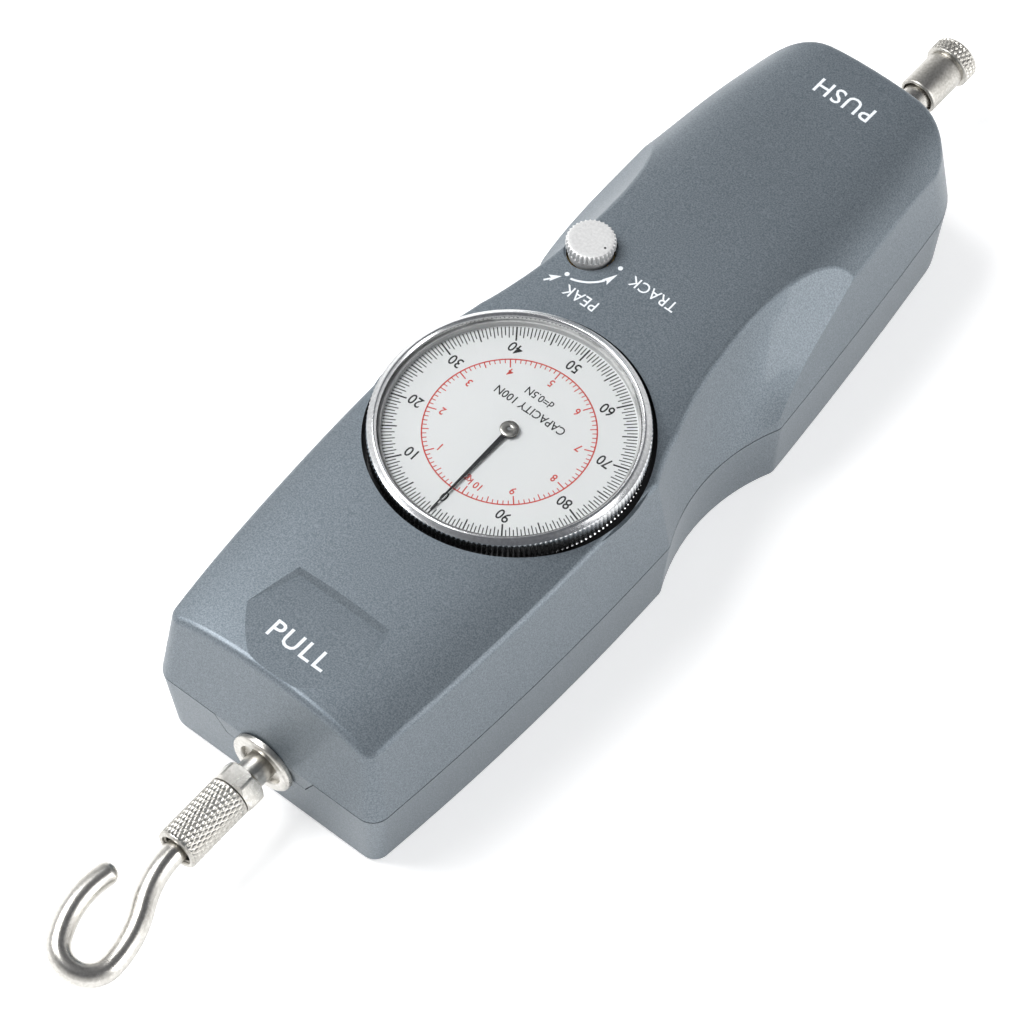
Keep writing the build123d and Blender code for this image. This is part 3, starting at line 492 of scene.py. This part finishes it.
stem = lathe([
    (0.0, 35.4), (STEM_R, 35.4), (STEM_R, 35.7), (STEM_GROOVE_R, 35.7), (STEM_GROOVE_R, 36.2),
    (STEM_R, 36.2), (STEM_R, 41.7), (0.0, 41.7),
], 48, False)
add_to(knob, stem)
shift(knob, *KNOB)
finish_piece(knob, "serrated_knob", KNOB_METAL, "knob", ["knob"], 40.0)
# painted shade: a thin black disc on the knob's top stands in for the shade inside the small index hole
dot = lathe([(0.0, 43.29), (0.24, 43.29), (0.24, 43.315), (0.0, 43.315)], 24, False)
shift(dot, KNOB[0] + 3.4, KNOB[1])
finish_piece(dot, "knob_index_hole_shade", BLACK_INK, "knob")

# ---------------------------------------------------------------------------
# hook, knurled sleeve and flat-ended push adapter
# ---------------------------------------------------------------------------
TILT = radians(15.0)
WIRE_R = 2.3
STEP = 0.9
# ends of the hook's arcs, in its own plane: swing, back, bowl, tip
corners = [(3.0, -107.0), (6.25, -119.2), (-3.73, -121.9), (-6.0, -106.9)]


def tangent_arc(start, way, end):
    """Points after start on the arc that leaves it along way, and the way at the end."""
    chord = end - start
    side = Vector((-way.y, way.x))
    bend = 2.0 * chord.dot(side) / chord.length_squared
    angle = 2.0 * atan2(chord.dot(side), chord.dot(way))
    count = max(4, int(abs(angle / bend) / STEP))
    points = []
    for k in range(1, count + 1):
        a = angle * k / count
        points.append(start + way * (sin(a) / bend) + side * ((1.0 - cos(a)) / bend))
    return points, way * cos(angle) + side * sin(angle)


def wire(radius, around, domes=9):
    """Round bent wire with a domed end, flat in its own plane."""
    path = [Vector((0.0, y)) for y in steps_between(-88.9, -95.5, 4)]
    way = Vector((0.0, -1.0))
    for corner in corners:
        points, way = tangent_arc(path[-1], way, Vector(corner))
        path += points
    rings = []
    for k, p in enumerate(path):
        near = path[min(k + 1, len(path) - 1)] - path[max(k - 1, 0)]
        rings.append((p, near.normalized(), radius))
    for k in range(1, domes + 1):
        a = k / domes * pi / 2
        rings.append((path[-1] + way * radius * sin(a) * 0.9, way, max(0.03, radius * cos(a))))
    bm = bmesh.new()
    loops = []
    for p, ahead, r in rings:
        side = Vector((ahead.y, -ahead.x))
        loop = []
        for j in range(around):
            a = tau * j / around
            flat = p + side * r * cos(a)
            loop.append(bm.verts.new((flat.x, flat.y, r * sin(a))))
        loops.append(loop)
    for one, two in zip(loops, loops[1:]):
        for j in range(around):
            bm.faces.new((one[j], one[(j + 1) % around], two[(j + 1) % around], two[j]))
    bm.faces.new(loops[0][::-1])
    bm.faces.new(loops[-1])
    return bm


hook = wire(WIRE_R, 40)
lean = Matrix.Translation((0, 0, SHAFT_Z)) @ Matrix.Rotation(TILT, 4, "Y")
bmesh.ops.transform(hook, matrix=lean, verts=hook.verts)
finish_piece(hook, "bent_hook", NICKEL, "hook", ["hook"], 60.0)

profile = [(3.06, -94.1), (3.06, -80.1), (3.9, -80.06), (4.2, -80.14)]
profile += [(4.4, z) for z in steps_between(-80.4, -94.45, 170)]
profile += [(4.28, -94.68), (4.0, -94.88), (3.5, -94.9), (3.4, -94.8), (3.38, -94.12)]
sleeve = lathe(profile, 240)
diamond(sleeve, -94.5, -80.35, 30, 2.3, 0.22)
lay_along_shaft(sleeve)
finish_piece(sleeve, "knurled_sleeve", KNURL_STEEL, "hook", ["hook_sleeve"], 70.0)

profile = [
    (3.45, 129.4), (3.45, 127.9), (3.55, 127.8), (3.8, 127.8), (4.02, 127.9), (4.13, 128.1), (4.15, 128.4),
    (4.15, 136.8), (4.08, 137.0), (3.8, 137.1), (3.76, 137.3), (3.8, 137.5), (4.7, 137.52), (4.84, 137.64),
]
profile += [(4.93, z) for z in steps_between(137.8, 140.75, 56)]
profile += [
    (4.85, 140.95), (4.6, 141.28), (4.3, 141.5), (3.9, 141.6), (0.0, 141.6), (0.0, 138.9),
    (3.02, 138.9), (3.02, 129.4),
]
cap = lathe(profile, 264)
diamond(cap, 137.75, 140.85, 33, 2.1, 0.24)
lay_along_shaft(cap)
finish_piece(cap, "knurled_push_adapter", KNURL_STEEL, "shaft", ["push_adapter"], 70.0)

profile = [
    (3.06, -58.0), (3.06, -70.6), (4.5, -70.7), (4.55, -71.5), (4.75, -71.82), (6.0, -71.85), (6.35, -71.78),
    (6.62, -71.5), (6.7, -71.2), (6.7, -70.53), (5.4, -70.5), (5.4, -60.7), (5.2, -58.0),
]
bush = lathe(profile, 96)
lay_along_shaft(bush)
finish_piece(bush, "flanged_pull_bush", NICKEL, "housing", ["pull_bush"], 50.0)

# ---------------------------------------------------------------------------
# legends on the upper cover
# ---------------------------------------------------------------------------
LEGEND_HALF = 0.02     # half the legends' thickness
ARROW_R = 8.0          # of the curved arrow, round the knob
ARROW_HALF = 0.22
ARROW_STEPS = 12
legend = bmesh.new()
# word, height, place, turn, squeeze, weight, letter spacing
words = [
    ("PULL", 5.6, (0.2, -59.2), 0.0, 1.0, 0.05, 1.14),
    ("PUSH", 5.3, (0.0, 101.8), pi, 1.0, 0.04, 1.12),
    ("PEAK", 3.5, (-8.9, 31.6), pi, 0.9, 0.01, 1.08),
    ("TRACK", 3.5, (1.2, 40.9), pi, 0.9, 0.01, 1.08),
]
for word, size, (x, y), turn, squeeze, bold, gap in words:
    part = text_mesh(word, size, (x, y, 0.0), turn, LEGEND_HALF, squeeze, bold, gap)
    add_to(legend, part)
for x, y in ((-7.3, 41.7), (-14.4, 34.5)):
    rim = [(0.0, -LEGEND_HALF), (0.48, -LEGEND_HALF), (0.48, LEGEND_HALF), (0.0, LEGEND_HALF)]
    part = lathe(rim, 24, False)
    shift(part, x, y)
    add_to(legend, part)


def arrow_edge(radius):
    """Points of the curved arrow's edge, from its tail to its head."""
    turns = [radians(-80 + 48 * k / ARROW_STEPS) for k in range(ARROW_STEPS + 1)]
    return [(KNOB[0] + radius * cos(a), KNOB[1] + radius * sin(a)) for a in turns]


bow = arrow_edge(ARROW_R - ARROW_HALF) + arrow_edge(ARROW_R + ARROW_HALF)[::-1]
for k in range(ARROW_STEPS):
    last = 2 * ARROW_STEPS + 1
    quad = [bow[k], bow[k + 1], bow[last - 1 - k], bow[last - k]]
    add_to(legend, slab(quad, -LEGEND_HALF, LEGEND_HALF))


def arrow_head(tip, way, length, half):
    tip = Vector(tip)
    way = Vector(way).normalized()
    side = Vector((-way.y, way.x))
    back = tip - way * length
    pts = [tip, back + side * half, back + way * length * 0.18, back - side * half]
    return slab([(p.x, p.y) for p in pts], -LEGEND_HALF, LEGEND_HALF)


a = radians(-12)
tip = (KNOB[0] + ARROW_R * cos(a), KNOB[1] + ARROW_R * sin(a))
add_to(legend, arrow_head(tip, (-sin(a) * 0.9 + 0.1, cos(a)), 3.1, 0.75))
straight = [(-17.3, 31.0), (-17.0, 30.7), (-15.9, 31.9), (-16.2, 32.2)]
add_to(legend, slab(straight, -LEGEND_HALF, LEGEND_HALF))
add_to(legend, arrow_head((-14.9, 33.5), (1.0, 1.0), 2.4, 0.8))
lay_on_cover(legend)
finish_piece(legend, "cover_legends", WHITE_INK, "housing", (), 30.0)

# ---------------------------------------------------------------------------
# floor, light and camera
# ---------------------------------------------------------------------------
FLOOR_LIFT = 0.5       # extra white of the table, seen by the camera and in reflections
WORLD_LEVEL = 0.85
HORIZON = (0.30, (1.0, 1.0, 1.0, 1.0))     # height of the direction, colour
ZENITH = (0.72, (0.16, 0.165, 0.18, 1.0))
bpy.ops.mesh.primitive_plane_add(size=6.0, location=(0, 0, -0.0002))
floor = bpy.context.object
floor.name = "floor"
n = Nodes("white_table")
table = n.add("ShaderNodeBsdfDiffuse")
table.inputs["Color"].default_value = (0.86, 0.86, 0.86, 1.0)
lift = n.add("ShaderNodeEmission")
ray = n.add("ShaderNodeLightPath")
shown = n.add("ShaderNodeMath", operation="MAXIMUM")
n.link(ray.outputs["Is Camera Ray"], shown.inputs[0])
n.link(ray.outputs["Is Glossy Ray"], shown.inputs[1])
n.link(n.span(shown.outputs["Value"], 0.0, FLOOR_LIFT), lift.inputs["Strength"])
both = n.add("ShaderNodeAddShader")
n.link(table.outputs["BSDF"], both.inputs[0])
n.link(lift.outputs["Emission"], both.inputs[1])
n.link(both.outputs["Shader"], n.out.inputs["Surface"])
floor.data.materials.append(n.mat)

world = bpy.data.worlds.new("studio")
bpy.context.scene.world = world
world.use_nodes = True
tree = world.node_tree
tree.nodes.clear()
out = tree.nodes.new("ShaderNodeOutputWorld")
seen = tree.nodes.new("ShaderNodeBackground")
seen.inputs["Color"].default_value = (1, 1, 1, 1)
seen.inputs["Strength"].default_value = 1.0
soft = tree.nodes.new("ShaderNodeBackground")
soft.inputs["Strength"].default_value = WORLD_LEVEL
way = tree.nodes.new("ShaderNodeTexCoord")
split = tree.nodes.new("ShaderNodeSeparateXYZ")
fade = tree.nodes.new("ShaderNodeValToRGB")
tree.links.new(way.outputs["Generated"], split.inputs["Vector"])
tree.links.new(split.outputs["Z"], fade.inputs["Fac"])
low, high = fade.color_ramp.elements
low.position, low.color = HORIZON
high.position, high.color = ZENITH
tree.links.new(fade.outputs["Color"], soft.inputs["Color"])
path = tree.nodes.new("ShaderNodeLightPath")
mixer = tree.nodes.new("ShaderNodeMixShader")
tree.links.new(path.outputs["Is Camera Ray"], mixer.inputs["Fac"])
tree.links.new(soft.outputs["Background"], mixer.inputs[1])
tree.links.new(seen.outputs["Background"], mixer.inputs[2])
tree.links.new(mixer.outputs["Shader"], out.inputs["Surface"])


def lamp(name, place, aim, size, power):
    light = bpy.data.lights.new(name, "AREA")
    light.shape = "RECTANGLE"
    light.size, light.size_y = size
    light.energy = power
    obj = bpy.data.objects.new(name, light)
    obj.location = place
    obj.rotation_euler = (Vector(aim) - Vector(place)).to_track_quat("-Z", "Y").to_euler()
    bpy.context.scene.collection.objects.link(obj)


lamp("key", (-0.65, -0.25, 1.05), (0, 0.02, 0.02), (0.8, 0.8), 19.0)
lamp("side", (1.1, 0.35, 0.40), (0, 0.02, 0.02), (0.35, 1.1), 6.0)

FOCAL_PX = 4800.0
FRAME_PX = 1029.0
camera = bpy.data.cameras.new("camera")
eye = bpy.data.objects.new("camera", camera)
bpy.context.scene.collection.objects.link(eye)
camera.sensor_width = 36.0
camera.lens = FOCAL_PX / FRAME_PX * camera.sensor_width
camera.clip_start = 0.01
camera.clip_end = 20.0
right = Vector((0.77165, 0.63602, -0.00570))
down = Vector((0.52965, -0.64751, -0.54790))
ahead = Vector((-0.35217, 0.41977, -0.83652))
turn = Matrix((right, -down, -ahead)).transposed().to_4x4()
eye.matrix_world = Matrix.Translation((0.32006, -0.38028, 0.77100)) @ turn
scene = bpy.context.scene
scene.camera = eye
scene.view_settings.view_transform = "Standard"
